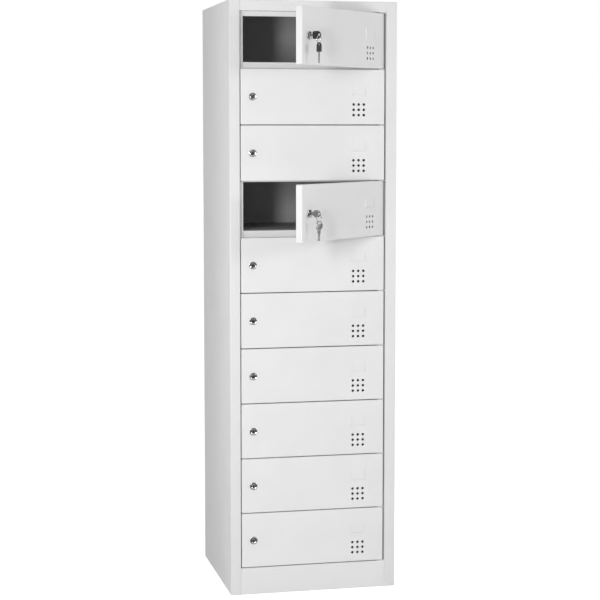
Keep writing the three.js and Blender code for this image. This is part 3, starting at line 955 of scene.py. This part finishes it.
def lock_body():
    """Bezel with a domed rim and a dished face, and a threaded barrel."""
    rim = 1.3
    dish_width = 1.1
    dish_lip = 0.2
    dish_depth = 1.6
    bore_edge = 0.4
    bore_depth = 1.9
    thread_depth = 0.6
    tail_chamfer = 0.8
    sides = 40
    profile = [(BORE_RADIUS, BEZEL_FACE + bore_depth),
               (BORE_RADIUS + bore_edge, BEZEL_FACE + dish_depth),
               (BEZEL_RADIUS - rim - dish_width, BEZEL_FACE + dish_lip)]
    for radius, y in arc((BEZEL_RADIUS - rim, BEZEL_FACE + rim), rim, -90, 0, 5):
        profile.append((radius, y))
    profile += [(BEZEL_RADIUS, FRONT - GAP), (BARREL_RADIUS, FRONT - GAP)]
    y = FRONT
    while y < FRONT + BARREL_DEPTH - THREAD_PITCH:
        profile.append((BARREL_RADIUS - thread_depth, y + THREAD_PITCH / 2))
        profile.append((BARREL_RADIUS, y + THREAD_PITCH))
        y += THREAD_PITCH
    profile.append((BARREL_RADIUS - tail_chamfer, FRONT + BARREL_DEPTH))
    profile.append((BORE_RADIUS, FRONT + BARREL_DEPTH))
    return shade(make("lock_body", *turned(profile, sides, closed=True)))


def lock_nut():
    """A chamfered hexagonal nut behind the door's sheet."""
    sides = 48
    chamfer = 0.7
    thread_bite = 0.3
    front = FRONT + SHEET + GAP
    apothem = NUT_RADIUS * math.cos(math.pi / 6)

    def hexagon(limit):
        ring = []
        for i in range(sides):
            angle = math.tau * i / sides
            folded = (angle + math.pi / 6) % (math.pi / 3) - math.pi / 6
            radius = min(apothem / math.cos(folded), limit)
            ring.append((radius * math.cos(angle), radius * math.sin(angle)))
        return ring

    levels = ((front, apothem), (front + chamfer, NUT_RADIUS),
              (front + NUT_THICK - chamfer, NUT_RADIUS), (front + NUT_THICK, apothem))
    rings = [[(x, y, z) for x, z in hexagon(limit)] for y, limit in levels]
    bore = [[(x, y, z) for x, z in circle((0, 0), BARREL_RADIUS - thread_bite, sides)]
            for y in (front + NUT_THICK, front)]
    rings += bore
    return shade(make("lock_nut", *loft(rings + rings[:1])))


def lock_cylinder():
    """The turning plug with its keyway. It reaches into the cam."""
    sides = 36
    edge_width = 0.5
    edge_depth = 0.4
    half_width = KEYWAY_WIDTH / 2
    half_height = KEYWAY_HEIGHT / 2
    cam_front = FRONT + CAM_DEPTH
    profile = [(PLUG_RADIUS - edge_width, PLUG_FACE), (PLUG_RADIUS, PLUG_FACE + edge_depth),
               (PLUG_RADIUS, cam_front + CAM_THICK / 2)]
    plug = make("lock_cylinder", *turned(profile, sides))
    keyway = [(-half_width, -half_height), (half_width, -half_height),
              (half_width, half_height), (-half_width, half_height)]
    rings = [[(x, y, z) for x, z in keyway]
             for y in (PLUG_FACE - OVERCUT, PLUG_FACE + KEYWAY_DEPTH)]
    carve(plug, solid_loft("keyway", rings))
    return shade(plug)


def cam_plate():
    """The cam, and the slotted screw that holds it to the plug."""
    half = CAM_WIDTH / 2
    end_steps = 12
    outline = arc((0, 0), half, 0, 180, end_steps)
    outline += arc((0, half - CAM_LENGTH), half, 180, 360, end_steps)
    plate = extruded(outline, CAM_THICK, edge=0.3)
    # The plate is made lying in YZ about x = 0, so it is turned to lie in XZ behind the spindle.
    depth = (FRONT + CAM_DEPTH + CAM_THICK / 2) * MM
    plate.data.transform(Matrix.Translation((0, depth, 0)) @ Matrix.Rotation(math.pi / 2, 4, "Z"))
    screw_sunk = 0.1
    head_radius = 4.2
    head_top_radius = 3.4
    head_edge = 1.4
    head_height = 2.1
    head_sides = 24
    slot_half_length = 3.6
    slot_half_width = 0.45
    slot_floor = 1.2
    slot_mouth = 3
    screw_front = FRONT + CAM_DEPTH + CAM_THICK - screw_sunk
    profile = [(head_radius, screw_front), (head_radius, screw_front + head_edge),
               (head_top_radius, screw_front + head_height)]
    screw = make("cam_screw", *turned(profile, head_sides))
    carve(screw, block(-slot_half_length, slot_half_length, screw_front + slot_floor,
                       screw_front + slot_mouth, -slot_half_width, slot_half_width))
    return shade(joined("cam_plate", [plate, screw]))


def add_doors():
    pan = finished_door()
    body = lock_body()
    nut = lock_nut()
    cylinder = lock_cylinder()
    cam = cam_plate()
    for n in DOORS:
        place = door_place(n)
        lock_place = place @ Matrix.Translation((LOCK_X * MM, 0, 0))
        dress(copy_at(pan, f"door_{n}_pan", place), DOOR_COAT, f"door_{n}", f"door_{n}")
        dress(copy_at(body, f"lock_{n}_body", lock_place), CHROME, f"door_{n}",
              f"lock_housing_{n}")
        dress(copy_at(nut, f"lock_{n}_nut", lock_place), ZINC, f"door_{n}")
        dress(copy_at(cylinder, f"lock_{n}_cylinder", lock_place), CHROME, f"lock_{n}",
              f"lock_plug_{n}")
        dress(copy_at(cam, f"lock_{n}_cam", lock_place), ZINC, f"lock_{n}")
        if n in KEYED:
            add_keys(n, lock_place)
    for pattern in (pan, body, nut, cylinder, cam):
        bpy.data.objects.remove(pattern)


# ---- Keys ----

KEY_REACH = 38
KEY_EYE_INSET = 6
SHOULDER = KEY_REACH - KEY_EYE_INSET
BLADE_LENGTH = 22
BLADE_HEIGHT = 7.2
BLADE_THICK = 1.1
CUT_DEPTHS = (1.7, 0.9, 2.1, 1.2, 0.6)
RING_RADIUS = 11.5
RING_REST = 2.0
EYE_SIDES = 24
CAPPED_EYE = 4
CAPPED_WIDTH = 23
CAPPED_LENGTH = 28
CAPPED_SPARE_TURN = -23.3
STEEL_EYE = 3.6
STEEL_SPARE_TURN = 35.4


def key_blade(top):
    """A cut blade that hangs down from the shoulder, with a groove milled in each face."""
    half = BLADE_HEIGHT / 2
    tip = -SHOULDER - BLADE_LENGTH
    nose = 0.8
    back_slope = 2.5
    cut_slope = 2.2
    first_cut = 3.6
    step = 3.2
    cut_floor = (0.35, 0.65)
    groove_web = 0.32
    groove_y = (0.2, 1.8)
    outline = [(half, top), (half, tip + back_slope), (nose, tip), (-nose, tip),
               (-half + nose, tip + cut_slope)]
    z = tip + first_cut
    for depth in CUT_DEPTHS:
        outline.append((-half, z))
        outline += [(-half + depth, z + step * part) for part in cut_floor]
        z += step
    outline += [(-half, z), (-half, top)]
    blade = extruded(outline, BLADE_THICK, edge=0.12)
    for side in (-1, 1):
        carve(blade, block(side * BLADE_THICK * groove_web, side * BLADE_THICK, *groove_y,
                           tip - OVERCUT, -SHOULDER))
    return blade


def steel_key():
    """An oval bow, a collar and a blade, all of sheet steel."""
    width = 22
    length = 28
    thick = 2.2
    bow_sides = 48
    collar_half = 5
    collar_into_bow = 3
    blade_into_bow = 1
    middle = KEY_EYE_INSET - length / 2
    collar_foot = -SHOULDER + 2
    collar_top = middle - length / 2 + collar_into_bow
    oval = [(y * width / 2, middle + z * length / 2) for y, z in circle((0, 0), 1, bow_sides)]
    bow = extruded(oval, thick, edge=0.4, holes=[circle((0, 0), STEEL_EYE, EYE_SIDES)])
    collar = [(-collar_half, collar_foot), (collar_half, collar_foot),
              (collar_half, collar_top), (-collar_half, collar_top)]
    carve(bow, extruded(collar, thick, edge=0.3), "UNION")
    carve(bow, key_blade(middle - length / 2 + blade_into_bow), "UNION")
    return shade(bow)


def key_cap():
    """A moulded head, round at its outer end, with three ribs across each face."""
    thick = 4.6
    foot_radius = 4
    rib_inset = 4
    rib_pitch = 3.6
    rib_width = 1.6
    rib_corner = 0.7
    rib_stand = 0.7
    half = CAPPED_WIDTH / 2
    foot = KEY_EYE_INSET - CAPPED_LENGTH
    outline = arc((0, KEY_EYE_INSET - half), half, 0, 180, 24)
    outline += arc((-half + foot_radius, foot + foot_radius), foot_radius, 180, 270, 5)
    outline += arc((half - foot_radius, foot + foot_radius), foot_radius, 270, 360, 5)
    cap = extruded(outline, thick, edge=1.2, holes=[circle((0, 0), CAPPED_EYE, EYE_SIDES)])
    for row in range(3):
        z = foot + rib_inset + rib_pitch * row
        rib = rounded_rectangle(-half + rib_inset, half - rib_inset, z, z + rib_width, rib_corner, 2)
        carve(cap, extruded(rib, thick + rib_stand, edge=0.3), "UNION")
    return shade(cap)


def capped_blade():
    """A blade whose top is hidden in the moulded head."""
    into_cap = 1.5
    return shade(key_blade(KEY_EYE_INSET - CAPPED_LENGTH + into_cap))


def split_ring():
    """Two close turns of wire, in the XZ plane about the origin."""
    wire = 0.46
    pitch = 0.9
    sides = 8
    steps = 112
    rings = []
    for step in range(steps + 1):
        turn = 2 * step / steps
        angle = math.tau * turn
        y = (turn - 1) * pitch
        ring = []
        for i in range(sides):
            around = math.tau * i / sides
            radius = RING_RADIUS + wire * math.cos(around)
            ring.append((radius * math.cos(angle), y + wire * math.sin(around),
                         radius * math.sin(angle)))
        rings.append(ring)
    return shade(solid_loft("split_ring", rings), limit=50)


def add_keys(n, lock_place):
    """The key in the lock, the ring through its eye, and the spare key on the ring."""
    capped = n == CAPPED_DOOR
    eye = CAPPED_EYE if capped else STEEL_EYE
    spare_turn = CAPPED_SPARE_TURN if capped else STEEL_SPARE_TURN
    eye_y = PLUG_FACE - SHOULDER
    wire_top = -eye + RING_REST
    wire_bottom = wire_top - 2 * RING_RADIUS
    in_lock = lock_place @ Matrix.Translation((0, eye_y * MM, 0))
    in_lock = in_lock @ Matrix.Rotation(math.pi / 2, 4, "X")
    ring_place = lock_place @ Matrix.Translation((0, eye_y * MM, (wire_top - RING_RADIUS) * MM))
    spare_eye = wire_bottom - eye + RING_REST
    hanging = lock_place @ Matrix.Translation((0, eye_y * MM, spare_eye * MM))
    hanging = hanging @ Matrix.Rotation(math.radians(spare_turn), 4, "Z")
    for place, node in ((in_lock, f"key_{n}"), (hanging, f"spare_key_{n}")):
        if capped:
            cap = key_cap()
            blade = capped_blade()
            dress(copy_at(cap, f"{node}_cap", place), CAP, node, node)
            dress(copy_at(blade, f"{node}_blade", place), ZINC, node)
            bpy.data.objects.remove(cap)
            bpy.data.objects.remove(blade)
        else:
            key = steel_key()
            dress(copy_at(key, f"{node}_steel", place), ZINC, node, node)
            bpy.data.objects.remove(key)
    ring = split_ring()
    dress(copy_at(ring, f"key_ring_{n}_wire", ring_place), WIRE, f"key_ring_{n}", f"key_ring_{n}")
    bpy.data.objects.remove(ring)


# ---- Power ----


def add_power():
    """The rail in the duct, and an outlet block with a charging port for each compartment."""
    low, high = box_mm("power_rail")
    port = next(o for o in frame["record"]["physics"]["openings"]
                if o["name"] == "charging_port_1")
    first_z = (port["box_m"][0][2] + port["box_m"][1][2]) / 2 / MM
    middle_x = (low.x + high.x) / 2
    outlet_half = 20
    sunk_in_rail = 0.5
    mouth_half_width = 7
    mouth_half_height = 3.5
    mouth_depth = 12
    line_half = 15
    line_inner_half = 14
    line_depth = 0.6
    tongue_half_width = 5
    tongue_half_height = 0.9
    tongue_front = 2
    tongue_rear = 12.5
    wall_front = box_mm("inner_rear_wall")[0].y
    rail_front = wall_front + SHEET + GAP
    rail = block(low.x, high.x, rail_front, high.y, low.z, high.z, "power_rail_housing")
    bevel(rail, 1.5, 3)
    dress(shade(rail), RAIL, "cabinet", "power_rail")
    for i in range(len(DOORS)):
        z = first_z - i * DOOR_PITCH

        def around(half_x, half_z, radius):
            return rounded_rectangle(middle_x - half_x, middle_x + half_x,
                                     z - half_z, z + half_z, radius)

        outlet = block(middle_x - outlet_half, middle_x + outlet_half, low.y,
                       rail_front + sunk_in_rail, z - outlet_half, z + outlet_half,
                       f"outlet_{i + 1}")
        bevel(outlet, 2.0, 4)
        mouth = around(mouth_half_width, mouth_half_height, 1.2)
        rings = [[(x, y, height) for x, height in mouth]
                 for y in (low.y - OVERCUT, low.y + mouth_depth)]
        carve(outlet, solid_loft("mouth", rings))
        # A fine line is cut into the block's face round the port.
        outer_line = around(line_half, line_half, 3)
        inner_line = around(line_inner_half, line_inner_half, 2.4)
        rings = [[(x, y, height) for x, height in line]
                 for line, y in ((outer_line, low.y - OVERCUT), (outer_line, low.y + line_depth),
                                 (inner_line, low.y + line_depth), (inner_line, low.y - OVERCUT))]
        carve(outlet, make("line", *loft(rings + rings[:1])))
        dress(shade(outlet), RAIL, "cabinet")
        tongue = block(middle_x - tongue_half_width, middle_x + tongue_half_width,
                       low.y + tongue_front, low.y + tongue_rear,
                       z - tongue_half_height, z + tongue_half_height, f"port_tongue_{i + 1}")
        bevel(tongue, 0.3)
        dress(shade(tongue), ZINC, "cabinet")


def add_inlet():
    """A three-pin mains inlet with its flange behind the back panel."""
    low, high = box_mm("mains_inlet")
    middle_x = (low.x + high.x) / 2
    middle_z = (low.z + high.z) / 2
    half_width = 13.5
    half_height = 10
    wall = 2
    chamfer = 1
    rear_chamfer = 0.4
    pin_half_width = 1
    pin_half_height = 2.5
    pin_foot = 1
    pin_short_of_rim = 3
    pin_places = ((-7, -2), (0, 3), (7, -2))
    flange_back = BACK - SHEET - GAP

    def frame_ring(half_x, half_z, y, radius):
        line = rounded_rectangle(middle_x - half_x, middle_x + half_x, middle_z - half_z,
                                 middle_z + half_z, radius)
        return [(x, y, z) for x, z in line]

    rings = [
        frame_ring(half_width - chamfer, half_height - chamfer, low.y, 1.5),
        frame_ring(half_width, half_height, low.y + chamfer, 2.5),
        frame_ring(half_width, half_height, flange_back - wall, 2.5),
        frame_ring(high.x - middle_x, high.z - middle_z, flange_back - wall, 3),
        frame_ring(high.x - middle_x, high.z - middle_z, flange_back, 3),
        frame_ring(half_width, half_height, flange_back, 2.5),
        frame_ring(half_width, half_height, high.y - rear_chamfer, 2.5),
        frame_ring(half_width - rear_chamfer, half_height - rear_chamfer, high.y, 2.2),
        frame_ring(half_width - wall, half_height - wall, high.y, 1.5),
        frame_ring(half_width - wall, half_height - wall, low.y + wall, 1.5),
    ]
    body = solid_loft("mains_inlet_body", rings)
    dress(shade(body), RAIL, "cabinet", "mains_inlet")
    for number, (dx, dz) in enumerate(pin_places):
        x = middle_x + dx
        z = middle_z + dz
        pin = block(x - pin_half_width, x + pin_half_width,
                    low.y + pin_foot, high.y - pin_short_of_rim,
                    z - pin_half_height, z + pin_half_height, f"inlet_pin_{number + 1}")
        bevel(pin, 0.5, 3)
        dress(shade(pin), ZINC, "cabinet")


# ---- The whole ----


add_studio()
add_casing()
add_doors()
add_power()
add_inlet()
